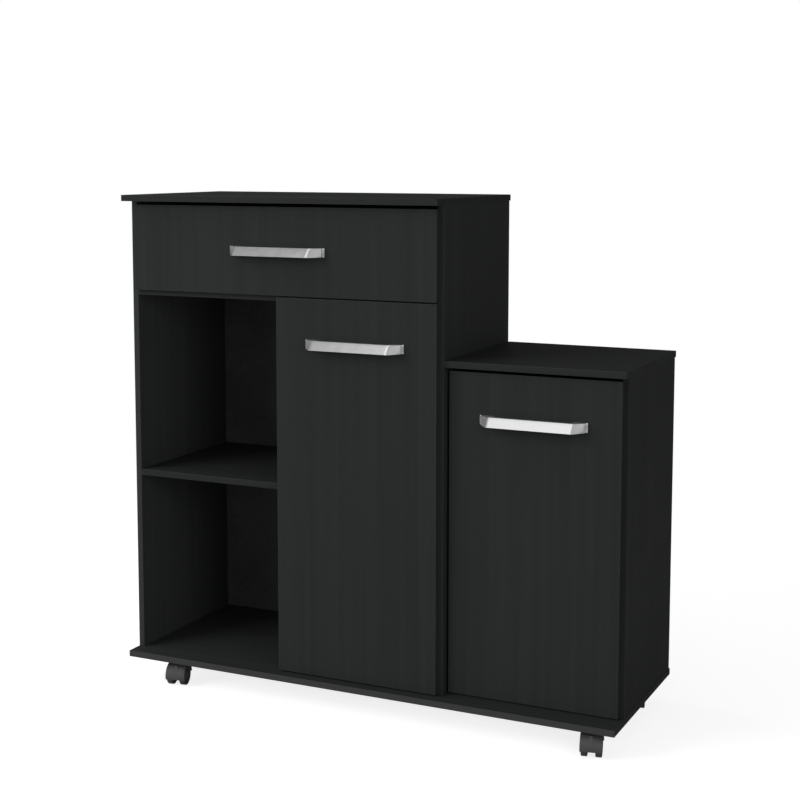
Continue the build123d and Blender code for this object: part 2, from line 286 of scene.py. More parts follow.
    def combine(self, tool: "Model", way: Joining = Joining.CUT) -> "Model":
        """Cuts this piece with another, or adds the other to it; the other is used up.

        Args:
            tool: The other piece.
            way: Whether it cuts or adds.

        Returns:
            The same model.
        """
        self.apply("BOOLEAN", operation=way.value, solver="EXACT", object=tool.thing)
        tool.drop()
        return self

    def apply(self, kind: str, **settings: object) -> None:
        """Adds a modifier and applies it at once.

        Args:
            kind: The modifier's type.
            settings: Its settings.
        """
        modifier = self.thing.modifiers.new(kind, kind)
        arrange(modifier, settings)
        self.hold()
        bpy.ops.object.modifier_apply(modifier=modifier.name)

    def soften(self, width: float, steps: int = 2, angle: float = 32.0) -> "Model":
        """Rounds every edge that is sharper than an angle, and shades the rest smooth.

        Args:
            width: The rounding's width.
            steps: How many flats make the rounding.
            angle: The least bend, in degrees, that is rounded.

        Returns:
            The same model.
        """
        bend = math.radians(angle)
        with self:
            bpy.ops.mesh.select_all(action="SELECT")
            bpy.ops.mesh.remove_doubles(threshold=1e-6)
            bpy.ops.mesh.normals_make_consistent(inside=False)
        self.apply("BEVEL", width=width, segments=steps, limit_method="ANGLE", angle_limit=bend, use_clamp_overlap=True)
        bpy.ops.object.shade_smooth_by_angle(angle=bend)
        return self

    def copy(self, name: str, place: Matrix) -> "Model":
        """Makes a copy with a mesh of its own.

        Args:
            name: The copy's name.
            place: The move or turn from this piece to the copy.

        Returns:
            The copy.
        """
        thing = self.thing.copy()
        thing.data = self.thing.data.copy()
        thing.data.transform(place)
        bpy.context.scene.collection.objects.link(thing)
        return Model(name, thing)

    def drop(self) -> None:
        """Removes a pattern or a tool once it has done its work."""
        bpy.data.meshes.remove(self.thing.data)

    def repeat(self, name: str, places: Iterable[Matrix]) -> "Model":
        """Copies this pattern to several places and joins the copies; the pattern is used up.

        Args:
            name: The joined piece's name.
            places: Where the copies go.

        Returns:
            The joined piece.
        """
        copies = [self.copy(f"{name}_{i}", place) for i, place in enumerate(places)]
        self.drop()
        copies[0].hold()
        for copy in copies:
            copy.thing.select_set(True)
        bpy.ops.object.join()
        return Model(name, copies[0].thing)

    def fit(self, body: str, slot: str, finish: Material, stands_for: Sequence[str] = ()) -> None:
        """Dresses the piece and puts it on its body.

        Args:
            body: The CAD body that it rides on.
            slot: The record's material slot; not used.
            finish: Its material.
            stands_for: The CAD nodes that it replaces.
        """
        self.thing.data.name = self.name
        self.thing.data.materials.clear()
        self.thing.data.materials.append(finish)
        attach(self.thing, body)
        if stands_for:
            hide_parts(*stands_for)
        LOG.info("%s: %d faces on %s", self.name, len(self.thing.data.polygons), body)


def operator(operation: str, flipped: bool = False) -> Callable[["Signal", "Signal | float"], "Signal"]:
    """Makes a method that adds one Math node.

    Args:
        operation: The node's operation.
        flipped: Whether the other number is the node's first input.

    Returns:
        The method.
    """

    def method(signal: "Signal", other: "Signal | float") -> "Signal":
        """The node's result."""
        values = (other, signal) if flipped else (signal, other)
        return signal.shader.result("ShaderNodeMath", {"operation": operation}, dict(enumerate(values)))

    return method


class Signal:
    """A number that varies over a surface; Python's operators on it add Math nodes."""

    def __init__(self, shader: "Shader", socket: Socket) -> None:
        """Wraps the output of a shader's node that carries the number."""
        self.shader = shader
        self.socket = socket

    __add__, __radd__ = operator("ADD"), operator("ADD", flipped=True)
    __sub__, __rsub__ = operator("SUBTRACT"), operator("SUBTRACT", flipped=True)
    __mul__, __rmul__ = operator("MULTIPLY"), operator("MULTIPLY", flipped=True)
    least, most = operator("MINIMUM"), operator("MAXIMUM")

    def ramp(self, low: float, high: float, start: float = 0.0, end: float = 1.0) -> "Signal":
        """Eases from one value to another.

        Args:
            low: Where the ramp begins.
            high: Where it ends.
            start: The value up to its beginning.
            end: The value from its end on.

        Returns:
            The eased number.
        """
        return self.shader.result(
            "ShaderNodeMapRange",
            {"interpolation_type": "SMOOTHSTEP"},
            {"Value": self, "From Min": low, "From Max": high, "To Min": start, "To Max": end},
        )


class Shader:
    """The nodes of a material, or of the world, while they are laid out."""

    def __init__(self, owner: Material | bpy.types.World) -> None:
        """Starts with no nodes.

        Args:
            owner: The material or world that gets the nodes.
        """
        self.owner = owner
        owner.use_nodes = True
        self.tree = owner.node_tree
        self.tree.nodes.clear()
        self.place = self.node("ShaderNodeTexCoord").outputs["Object"]

    @classmethod
    def paint(cls, name: str) -> "Shader":
        """Starts a new material with this name."""
        return cls(bpy.data.materials.new(name))

    def node(self, kind: str, settings: dict | None = None, inputs: dict | None = None) -> bpy.types.Node:
        """Adds one node.

        Args:
            kind: The node's type.
            settings: Its settings, which are set first.
            inputs: The values or links of its sockets.

        Returns:
            The node.
        """
        node = self.tree.nodes.new(kind)
        arrange(node, settings or {})
        for key, value in (inputs or {}).items():
            source = value.socket if isinstance(value, Signal) else value
            if isinstance(source, Socket):
                self.tree.links.new(source, node.inputs[key])
            else:
                node.inputs[key].default_value = source
        return node

    def result(self, kind: str, settings: dict | None = None, inputs: dict | None = None) -> Signal:
        """Adds one node and reads its first output as a number."""
        return Signal(self, self.node(kind, settings, inputs).outputs[0])

    def axes(self, vector: Socket | None = None) -> tuple[Signal, Signal, Signal]:
        """The place on the object, or another vector, as three numbers."""
        outputs = self.node("ShaderNodeSeparateXYZ", inputs={0: vector or self.place}).outputs
        return tuple(Signal(self, output) for output in outputs)

    def stretched(self, scale: Sequence[float]) -> Socket:
        """The place on the object, scaled along each axis."""
        return self.node("ShaderNodeMapping", inputs={"Vector": self.place, "Scale": scale}).outputs[0]

    def along(self, axis: Axis, scale: float, across: float) -> Socket:
        """The place on the object, scaled by one number along an axis and by another across it."""
        return self.stretched([scale if component else across for component in axis.value])

    def noise(self, scale: float, detail: float = 2.0, rough: float = 0.5, place: Socket | None = None) -> Signal:
        """Noise with so many clouds to the metre, about a half on average, and finer layers of a given strength."""
        inputs = {"Vector": place or self.place, "Scale": scale, "Detail": detail, "Roughness": rough}
        return self.result("ShaderNodeTexNoise", inputs=inputs)

    def blend(self, factor: Signal, first: Colour | Socket, second: Colour) -> Socket:
        """Mixes two colours.

        Args:
            factor: How much of the second shows.
            first: The first colour, or the output that carries it.
            second: The second colour.

        Returns:
            The mixed colour's output.
        """
        a = first if isinstance(first, Socket) else (*first, 1.0)
        node = self.node("ShaderNodeMix", {"data_type": "RGBA"}, {0: factor, 6: a, 7: (*second, 1.0)})
        return node.outputs[2]

    def vary(self, factor: Signal, colour: Colour, dark: float, light: float) -> Socket:
        """Runs a colour from a darker to a lighter shade of itself."""
        return self.blend(factor, shade(colour, dark), shade(colour, light))

    def bump(self, height: Signal, depth: float) -> Socket:
        """Turns a height into a relief of a real depth in metres."""
        return self.node("ShaderNodeBump", inputs={"Height": height, "Distance": depth, "Strength": 1.0}).outputs[0]

    def close(self, **sockets: object) -> Material:
        """Ends the material with its surface.

        Args:
            sockets: The surface's values and links; an underscore stands for a space.

        Returns:
            The finished material.
        """
        named = {key.replace("_", " "): value for key, value in sockets.items()}
        surface = self.node("ShaderNodeBsdfPrincipled", inputs=named)
        self.node("ShaderNodeOutputMaterial", inputs={"Surface": surface.outputs[0]})
        return self.owner


def shade(colour: Colour, by: float) -> Colour:
    """A lighter or darker version of a colour."""
    return tuple(channel * by for channel in colour)


@dataclass(frozen=True)
class BoardFinish:
    """Matte black melamine board: a fine grain, a pebbled skin, and edges rubbed a little paler."""

    colour: Colour = (0.0222, 0.0236, 0.0230)
    rubbed: Colour = (0.052, 0.054, 0.053)
    roughness: float = 0.56
    gloss: float = 0.05
    grain: Axis = Axis.Z
    pore_scales: tuple[float, float] = (7.0, 360.0)
    band_scales: tuple[float, float] = (1.1, 62.0)
    contrast: float = 0.09
    grain_depth: float = 0.00007
    rubbed_width: float = 0.0011
    # An optional band along the board's front face, painted paler as a painted highlight for light bounced up from the
    # floor; None leaves it out.
    painted_highlight: Colour | None = None
    painted_highlight_limits: tuple[float, float] = (0.0002, 0.0006)

    def make(self, name: str, low: Vector, high: Vector) -> Material:
        """Makes the finish for one board.

        Args:
            name: The material's name.
            low: The board's lowest corner, from which its edges are found.
            high: Its highest corner.

        Returns:
            The material.
        """
        shader = Shader.paint(name)
        x, y, z = ((place - low[i]).least(high[i] - place) for i, place in enumerate(shader.axes()))
        from_edge = x.least(y).most(x.most(y).least(z))
        pores = shader.noise(1.0, 3.0, 0.62, shader.along(self.grain, *self.pore_scales))
        bands = shader.noise(1.0, 2.0, 0.5, shader.along(self.grain, *self.band_scales))
        pebble = shader.noise(1500.0, 1.0, 0.5)
        clouds = shader.noise(5.0, 2.0, 0.5)
        chips = shader.noise(170.0, 3.0, 0.65)
        tone = pores * 0.25 + bands * 0.60 + clouds * 0.15
        colour = shader.vary(tone.ramp(0.32, 0.68), self.colour, 1.0 - self.contrast, 1.0 + self.contrast)
        # Painted highlight: the front face is blended towards a paler colour, standing in for light bounced up from the
        # floor.
        if self.painted_highlight:
            start, end = (low.y + limit for limit in self.painted_highlight_limits)
            painted_highlight = shader.axes()[1].ramp(start, end, 1.0, 0.0) * tone.ramp(0.2, 0.8, 0.86, 1.0)
            colour = shader.blend(painted_highlight, colour, self.painted_highlight)
        worn = from_edge.ramp(0.0, self.rubbed_width, 1.0, 0.0) * chips.ramp(0.40, 0.66, 0.35, 0.8)
        return shader.close(
            Base_Color=shader.blend(worn, colour, self.rubbed),
            Roughness=self.roughness + (clouds - 0.5) * 0.14 + (pores - 0.5) * 0.10 - worn * 0.08,
            Specular_IOR_Level=self.gloss,
            Normal=shader.bump(pores * 0.55 + pebble * 0.45, self.grain_depth),
        )


@dataclass(frozen=True)
class MouldedFinish:
    """Moulded plastic: a faint spark-eroded skin, slight flow clouds and scuffs."""

    colour: Colour
    roughness: float = 0.5
    gloss: float = 0.4
    skin_scale: float = 1400.0
    skin_depth: float = 0.00005
    contrast: float = 0.12
    scuff_scales: tuple[float, float, float] = (900.0, 140.0, 300.0)
    scuff_shade: float = 1.9

    def make(self, name: str) -> Material:
        """Makes the material.

        Args:
            name: Its name.

        Returns:
            The material.
        """
        shader = Shader.paint(name)
        clouds = shader.noise(60.0, 3.0, 0.55)
        skin = shader.noise(self.skin_scale, 2.0, 0.6)
        scuffs = shader.noise(1.0, 4.0, 0.7, shader.stretched(self.scuff_scales))
        colour = shader.vary(clouds.ramp(0.3, 0.7), self.colour, 1.0 - self.contrast, 1.0 + self.contrast)
        return shader.close(
            Base_Color=shader.blend(scuffs.ramp(0.66, 0.76) * 0.35, colour, shade(self.colour, self.scuff_shade)),
            Roughness=self.roughness + (clouds - 0.5) * 0.18 + (skin - 0.5) * 0.12,
            Specular_IOR_Level=self.gloss,
            Normal=shader.bump(skin, self.skin_depth),
        )


@dataclass(frozen=True)
class MetalFinish:
    """Plated or satin metal: fine lines along one axis, faint blotches and rubbed spots."""

    colour: Colour
    roughness: float = 0.28
    lines: Axis = Axis.X
    line_scales: tuple[float, float] = (30.0, 2600.0)
    line_depth: float = 0.00001
    blotch: float = 0.10
    metal: float = 1.0

    def make(self, name: str) -> Material:
        """Makes the material.

        Args:
            name: Its name.

        Returns:
            The material.
        """
        shader = Shader.paint(name)
        lines = shader.noise(1.0, 2.0, 0.6, shader.along(self.lines, *self.line_scales))
        clouds = shader.noise(45.0, 4.0, 0.6)
        specks = shader.noise(700.0, 2.0, 0.6)
        return shader.close(
            Base_Color=shader.vary(clouds.ramp(0.3, 0.7), self.colour, 1.0 - self.blotch, 1.0 + self.blotch / 2),
            Roughness=self.roughness + (lines - 0.5) * 0.10 + (clouds - 0.5) * 0.12 + specks.ramp(0.62, 0.7) * 0.08,
            Metallic=self.metal,
            Normal=shader.bump(lines, self.line_depth),
        )


@dataclass(frozen=True)
class PaintedSteelFinish:
    """Powder-coated sheet steel: orange-peel paint, worn through to metal in fine scratches."""

    colour: Colour
    bare: Colour = (0.28, 0.28, 0.28)
    roughness: float = 0.42
    peel_depth: float = 0.00006
    track_scales: tuple[float, float, float] = (700.0, 18.0, 900.0)

    def make(self, name: str) -> Material:
        """Makes the material.

        Args:
            name: Its name.

        Returns:
            The material.
        """
        shader = Shader.paint(name)
        peel = shader.noise(650.0, 2.0, 0.5)
        clouds = shader.noise(30.0, 3.0, 0.6)
        tracks = shader.noise(1.0, 4.0, 0.7, shader.stretched(self.track_scales))
        colour = shader.vary(clouds.ramp(0.3, 0.7), self.colour, 0.92, 1.04)
        return shader.close(
            Base_Color=shader.blend(tracks.ramp(0.68, 0.76) * 0.5, colour, self.bare),
            Roughness=self.roughness + (clouds - 0.5) * 0.15,
            Normal=shader.bump(peel, self.peel_depth),
        )


@dataclass(frozen=True)
class HardboardFinish:
    """Painted hardboard: short pressed fibres under a thin black coat."""

    # The coat is set paler than the boards' black as painted light, lifting the shaded niche back.
    colour: Colour = (0.0440, 0.0440, 0.0430)
    roughness: float = 0.66
    gloss: float = 0.25
    fibre_scales: tuple[float, float, float] = (260.0, 260.0, 90.0)
    fibre_depth: float = 0.00009

    def make(self, name: str) -> Material:
        """Makes the material.

        Args:
            name: Its name.

        Returns:
            The material.
        """
        shader = Shader.paint(name)
        fibres = shader.noise(1.0, 5.0, 0.68, shader.stretched(self.fibre_scales))
        clouds = shader.noise(9.0, 3.0, 0.6)
        mesh = shader.noise(900.0, 1.0, 0.5)
        return shader.close(
            Base_Color=shader.vary((fibres * 0.6 + clouds * 0.4).ramp(0.36, 0.66), self.colour, 0.8, 1.35),
            Roughness=self.roughness + (clouds - 0.5) * 0.12,
            Specular_IOR_Level=self.gloss,
            Normal=shader.bump(fibres * 0.6 + mesh * 0.4, self.fibre_depth),
        )


class Finishes:
    """The cabinet's finishes, each made once."""

    def __init__(self) -> None:
        """Makes every finish that isn't cut to one board."""
        self.silver = MetalFinish((0.80, 0.80, 0.81), roughness=0.17, blotch=0.03, metal=0.75).make("satin_silver")
        self.nickel = MetalFinish((0.62, 0.60, 0.57), roughness=0.30, lines=Axis.Z, metal=0.72).make("nickel_plate")
        self.zinc = MetalFinish((0.50, 0.51, 0.53), roughness=0.36, blotch=0.16, metal=0.75).make("zinc_plate")
        self.black_screw = MetalFinish((0.10, 0.10, 0.105), roughness=0.38).make("blackened_screw")
        self.paint = PaintedSteelFinish((0.66, 0.66, 0.64)).make("runner_paint")
        self.nylon = MouldedFinish((0.74, 0.74, 0.71), roughness=0.42).make("white_nylon")
        self.black_plastic = MouldedFinish((0.022, 0.022, 0.022), roughness=0.48).make("black_plastic")
        self.hood = MouldedFinish((0.062, 0.062, 0.063), roughness=0.5).make("caster_hood_plastic")
        self.wheel = MouldedFinish((0.050, 0.050, 0.051), roughness=0.44).make("caster_wheel_plastic")
        self.hardboard = HardboardFinish().make("painted_hardboard")


@dataclass
class CarriedNode:
    """A CAD node that stays as it is, with its edges eased and a finish put on."""

    name: str
    ease: float
    steps: int = 2

    def dress(self, finish: Material) -> None:
        """Eases the node's edges and puts its finish on.

        Args:
            finish: The material.
        """
        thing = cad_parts[self.name]
        arrange(thing.modifiers.new("closed_seams", "WELD"), {"merge_threshold": 0.00001})
        easing = {"width": self.ease, "segments": self.steps, "limit_method": "ANGLE"}
        easing |= {"angle_limit": math.radians(35), "harden_normals": True}
        arrange(thing.modifiers.new("eased_edges", "BEVEL"), easing)
        for slot in thing.material_slots:
            slot.material = finish
        LOG.info("%s: dressed with %s", self.name, finish.name)

    def dress_board(self, finish: BoardFinish) -> None:
        """Dresses a board in a finish that is cut to its own edges."""
        self.dress(finish.make(f"{self.name}_melamine", *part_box(self.name)))


@dataclass
class Carcass:
    """The boards that stay still."""

    upright_boards: tuple[str, ...] = ("left_side_panel", "centre_divider", "shared_side_panel", "right_side_panel")
    flat_boards: tuple[str, ...] = (
        "base_board", "tall_top_board", "low_top_board", "drawer_deck_board", "niche_shelf", "cupboard_shelf",
    )
    thin_boards: tuple[str, ...] = ("tall_back_panel", "low_back_panel")
    # Painted light: each board's black is lifted or lowered by its factor, giving lit and shaded copies of one melamine
    # for how light falls on it.
    painted_light_tones: tuple[tuple[str, float], ...] = (
        ("left_side_panel", 1.5), ("centre_divider", 1.15), ("shared_side_panel", 1.10), ("right_side_panel", 0.94),
        ("base_board", 1.16),
    )
    # The base board's front face colour: a painted highlight for light bounced up from the floor.
    base_painted_highlight: Colour = (0.047, 0.048, 0.0475)
    edge_ease: float = 0.0007

    def dress(self, finishes: Finishes) -> None:
        """Dresses every board; the grain runs up the uprights and along the flat ones.

        Args:
            finishes: The cabinet's finishes.
        """
        painted_light_tones = dict(self.painted_light_tones)
        for names, grain in ((self.upright_boards, Axis.Z), (self.flat_boards, Axis.X)):
            for name in names:
                # Painted light: the board's colour is scaled by its lit or shaded tone.
                colour = shade(BoardFinish.colour, painted_light_tones.get(name, 1.0))
                # Only the base board gets the painted highlight on its front face.
                painted_highlight = self.base_painted_highlight if name == "base_board" else None
                CarriedNode(name, self.edge_ease).dress_board(BoardFinish(colour, grain=grain, painted_highlight=painted_highlight))
        for name in self.thin_boards:
            CarriedNode(name, 0.0003).dress(finishes.hardboard)
        CarriedNode("shelf_supports", 0.0004).dress(finishes.black_plastic)


@dataclass
class Front:
    """A door's or the drawer's front board, and the bar on it."""

    board: str
    body: str
    handle_node: str
    handle_height: float
    colour: Colour = (0.0240, 0.0262, 0.0253)

    def middle(self) -> float:
        """The middle of the front's width."""
        low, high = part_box(self.board)
        return (low.x + high.x) / 2

    def back(self) -> float:
        """Where the front's inner face is."""
        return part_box(self.board)[1].y

    def handle_place(self) -> Matrix:
        """The move from the handle's own frame to its place on the front's outer face."""
        return Matrix.Translation((self.middle(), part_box(self.board)[0].y, self.handle_height))

    def dress(self) -> None:
        """Puts the front's finish on."""
        CarriedNode(self.board, 0.0008, 3).dress_board(BoardFinish(self.colour))


@dataclass
class BarHandle:
    """A faceted bridge handle: a sloping bar whose ends turn back to two short feet."""

    half_gap: float = 0.0735
    half_face: float = 0.0782
    half_foot: float = 0.0970
    half_length: float = 0.1
    half_height: float = 0.0082
    top_reach: float = 0.0197
    low_reach: float = 0.0323
    bar_thickness: float = 0.008
    foot_reach: float = 0.008
    flange: float = 0.0022
    hollow_rim: float = 0.0016
    hollow_depth: float = 0.0045
    crease_edge: float = 0.0007
    lip_edge: float = 0.0012
    edge: float = 0.0005
    twist_start: float = 0.004
    twist_cuts: int = 4

    def on_front(self, place: Vector) -> bool:
        """Whether a point is on the bar's sloping face, or on its straight run past the ends."""
        slope = (self.low_reach - self.top_reach) / 2 / self.half_height
        return place.y < slope * place.z - (self.top_reach + self.low_reach - self.bar_thickness) / 2

    def build(self) -> Model:
        """Models the handle in its own frame, with its back on the front's face.

        Returns:
            The handle.
        """
        top, low, half = self.top_reach, self.low_reach, self.half_height
        bar = Model.block("bar_handle", (-self.half_gap, -top, -half), (self.half_gap, self.bar_thickness - top, half))
        with bar:
            bar.points(lambda s: s.place.z < 0).move((0, top - low, 0))
            for side in (-1, 1):
                ends = lambda s, side=side: s.way.x * side > ALONG
                bar.faces(ends).extrude((side * (self.half_face - self.half_gap), 0, 0))
                bar.faces(ends).extrude((side * (self.half_foot - self.half_face), 0, 0))
            self.turn_ends_in(bar)
            legs = lambda s: abs(s.place.x) > self.half_gap and s.way.y > 0.5
            bar.faces(legs).extrude((0, self.flange, 0)).scale((1, 0, 1), (0, 0, 0))
            bar.slice((0, -self.flange, 0), (0, 1, 0))
            outer = self.half_foot - 10 * NEAR
            for side in (-1, 1):
                foot = lambda s, side=side: (
                    s.way.x * side > ALONG and s.place.x * side > outer and s.place.y > -self.flange
                )
                bar.faces(foot).extrude((side * (self.half_length - self.half_foot), 0, 0))
            back = lambda s: abs(s.place.x) < self.half_gap and s.way.y > 0.5
            bar.faces(back).inset(self.hollow_rim).extrude((0, -self.hollow_depth, 0))
            self.crease(bar)
        return bar.soften(self.edge, 3, 20.0)

    def turn_ends_in(self, bar: Model) -> None:
        """Brings the ends' outer points back to the feet.

        Args:
            bar: The handle in edit mode.
        """
        far = self.half_foot - NEAR
        bar.points(lambda s: abs(s.place.x) > far and not self.on_front(s.place))
        bar.scale((1, 0, 1), (0, -self.foot_reach / 2, 0))
        bar.points(lambda s: abs(s.place.x) > far and s.place.y < -self.foot_reach)
        bar.scale((1, 0, 1), (0, -self.foot_reach, 0))

    def crease(self, bar: Model) -> None:
        """Rounds the crease between the bar's face and each end, and lets the end's twist run smoothly.

        Args:
            bar: The handle in edit mode.
        """
        near = lambda s: abs(abs(s.place.x) - self.half_face) < NEAR and self.on_front(s.place) and abs(s.way.x) < 0.1
        bar.edges(lambda s: near(s) and abs(s.way.z) > 0.5).bevel(self.crease_edge, 2)
        lip = lambda s: abs(s.place.x) < self.half_face and abs(s.way.x) > ALONG and s.place.y < 0.001 - self.low_reach
        bar.edges(lip).bevel(self.lip_edge, 3)
        bar.faces(lambda s: abs(s.place.x) > self.half_face + self.twist_start and s.way.y < -0.3)
        bpy.ops.mesh.subdivide(number_cuts=self.twist_cuts)


@dataclass
class Screw:
    """A cross-head screw's head, which stands on a surface."""

    radius: float
    height: float
    slot_width: float = 0.0008
    sides: int = 20
    taper: float = 0.82
    dish: tuple[float, float] = (0.25, 0.16)
    slot_reach: float = 0.55
    slot_floor: float = 0.45

    def build(self, name: str) -> Model:
        """Models the head in its own frame, with its seat at the origin and its top along Z.

        Args:
            name: The pattern's name.

        Returns:
            The head.
        """
        head = Model.disc(name, self.radius, (0, 0, 0), self.height, Axis.Z, self.sides)
        with head:
            head.faces(lambda s: s.way.z > ALONG).scale((self.taper, self.taper, 1), (0, 0, self.height))
            head.inset(self.radius * self.dish[0], self.height * self.dish[1])
        reach, width = self.radius * self.slot_reach, self.slot_width / 2
        floor, roof = self.height * self.slot_floor, self.height * 2
        for x, y in ((reach, width), (width, reach)):
            head.combine(Model.block("slot", (-x, -y, floor), (x, y, roof)))
        head.hold()
        bpy.ops.object.shade_smooth_by_angle(angle=math.radians(30))
        return head


@dataclass
class ScrewSet:
    """Screw heads of one kind, driven into one body in one direction."""

    name: str
    body: str
    slot: str
    screw: Screw
    way: tuple[float, float, float]
    places: Sequence[Vector]

    def drive(self, finish: Material) -> None:
        """Copies the head to every place and joins the copies.

        Args:
            finish: The heads' material.
        """
        turn = turn_to(self.way)
        heads = self.screw.build(self.name + "_pattern").repeat(
            self.name, [Matrix.Translation(place) @ turn for place in self.places]
        )
        heads.fit(self.body, self.slot, finish)


@dataclass
class Hinge:
    """A concealed hinge: a pressed cup in the door, a curved link, and an arm on its plate."""

    door: str
    edge: float
    back: float
    heights: tuple[float, float]
    cup_middle: float = -0.017
    cup_radius: float = 0.013
    cup_depth: float = 0.009
    cup_wall: float = 0.0009
    flange_radius: float = 0.0146
    flange: float = 0.0007
    wing_half_width: float = 0.006
    wing_half_height: float = 0.023
    wing_rounding: float = 0.9
    cup_screw_rise: float = 0.0185
    arm_face: float = -0.017
    arm_screw_depths: tuple[float, float] = (0.026, 0.046)
    plate_face: float = -0.005
    plate_screw_depth: float = 0.038
    plate_screw_rise: float = 0.0165

    def cup(self) -> Model:
        """Models the cup with its flange and two round-ended wings.

        Returns:
            The cup, in the hinge's own frame.
        """
        x, up, across, flange = self.cup_middle, self.wing_half_height, self.wing_half_width, self.flange
        cup = Model.block("hinge_cup", (x - across, 0, -up), (x + across, flange, up))
        with cup:
            cup.edges(lambda s: abs(s.way.y) > ALONG).bevel(across * self.wing_rounding, 5)
        rim = Model.disc("rim", self.flange_radius, (x, 0, 0), flange, Axis.Y)
        pot = Model.disc("pot", self.cup_radius, (x, flange / 2, 0), -self.cup_depth - flange / 2, Axis.Y)
        depth = -self.cup_depth - flange * 2 + self.cup_wall
        room = Model.disc("room", self.cup_radius - self.cup_wall, (x, flange * 2, 0), depth, Axis.Y)
        cup.combine(rim, Joining.ADD).combine(pot, Joining.ADD).combine(room)
        return cup.soften(0.0002, 2)

    def seats(self, x: float, depths: Sequence[float], rises: Sequence[float]) -> list[Vector]:
        """Places on both hinges, counted from each hinge's own frame."""
        edge, back = self.edge + x, self.back
        return [Vector((edge, back + depth, z + rise)) for z in self.heights for depth in depths for rise in rises]

    def dress(self, finishes: Finishes) -> None:
        """Builds the cups and the screws, and dresses the CAD links.

        Args:
            finishes: The cabinet's finishes.
        """
        body = f"{self.door}_assembly"
        places = [Matrix.Translation((self.edge, self.back, z)) for z in self.heights]
        cups = self.cup().repeat(f"{self.door}_pressed_cups", places)
        cups.fit(body, "hinge_steel", finishes.nickel, (f"{self.door}_hinge_cups",))
        CarriedNode(f"{self.door}_hinge_links", 0.0003).dress(finishes.nickel)
        rise = self.cup_screw_rise
        cup_seats = self.seats(self.cup_middle, (self.flange,), (-rise, rise))
        rise = self.plate_screw_rise
        arm_seats = self.seats(self.arm_face, self.arm_screw_depths, (0.0,))
        arm_seats += self.seats(self.plate_face, (self.plate_screw_depth,), (-rise, rise))
        for part, owner, screw, way, seats in (
            ("cup", body, Screw(0.0036, 0.0015), BACKWARD, cup_seats),
            ("arm", "cabinet", Screw(0.0034, 0.0014), LEFTWARD, arm_seats),
        ):
            ScrewSet(f"{self.door}_{part}_screws", owner, "hinge_steel", screw, way, seats).drive(finishes.nickel)


@dataclass
class Roller:
    """A grooved nylon roller of a drawer runner, turning about an axis across the cabinet."""

    radius: float = 0.008
    width: float = 0.006
    bore: float = 0.00256
    rim: float = 0.0014
    groove: float = 0.0009
    hub_share: float = 0.52

    def build(self) -> Model:
        """Models the roller from the origin along X.

        Returns:
            The roller.
        """
        wheel = Model.disc("roller", self.radius, (0, 0, 0), self.width, Axis.X, 56)
        hub = self.radius * self.hub_share
        with wheel:
            for side in (-1, 1):
                end = lambda s, side=side: s.way.x * side > ALONG and s.place.length < self.width * 1.1
                wheel.faces(end).inset(self.rim).extrude((-side * self.groove, 0, 0))
                wheel.inset(self.radius - self.rim - hub).extrude((side * self.groove, 0, 0))
                wheel.inset(hub - self.bore)
            wheel.faces(lambda s: abs(s.way.x) > ALONG and s.place.yz.length < NEAR).bore()
        return wheel.soften(0.0003, 2)


@dataclass
class DrawerUnit:
    """The drawer: its front, box, runners and rollers."""

    front: Front
    box_boards: tuple[tuple[str, Axis], ...] = (
        ("drawer_left_side", Axis.Y), ("drawer_right_side", Axis.Y), ("drawer_back", Axis.X),
    )
    box_colour: Colour = (0.0205, 0.0215, 0.0211)
    axis_height: float = 0.8002
    roller_depths: tuple[tuple[str, float], ...] = (("front", -0.127), ("rear", 0.150))
    left_face: float = -0.487
    right_face: float = 0.1526
    inset: float = 0.00325

    def dress(self, finishes: Finishes) -> None:
        """Dresses the box and its runners, and builds the rollers.

        Args:
            finishes: The cabinet's finishes.
        """
        self.front.dress()
        for name, grain in self.box_boards:
            CarriedNode(name, 0.0005).dress_board(BoardFinish(self.box_colour, grain=grain))
        CarriedNode("drawer_bottom", 0.0002).dress(finishes.hardboard)
        for name in ("left_cabinet_runner", "right_cabinet_runner", "left_drawer_runner", "right_drawer_runner"):
            CarriedNode(name, 0.0002).dress(finishes.paint)
        for end, depth in self.roller_depths:
            roller = Roller()
            lefts = (self.left_face + self.inset, self.right_face - self.inset - roller.width)
            places = [Matrix.Translation((x, depth, self.axis_height)) for x in lefts]
            pair = roller.build().repeat(f"{end}_nylon_rollers", places)
            pair.fit(f"{end}_roller_pair", "roller_nylon", finishes.nylon, (f"{end}_rollers",))


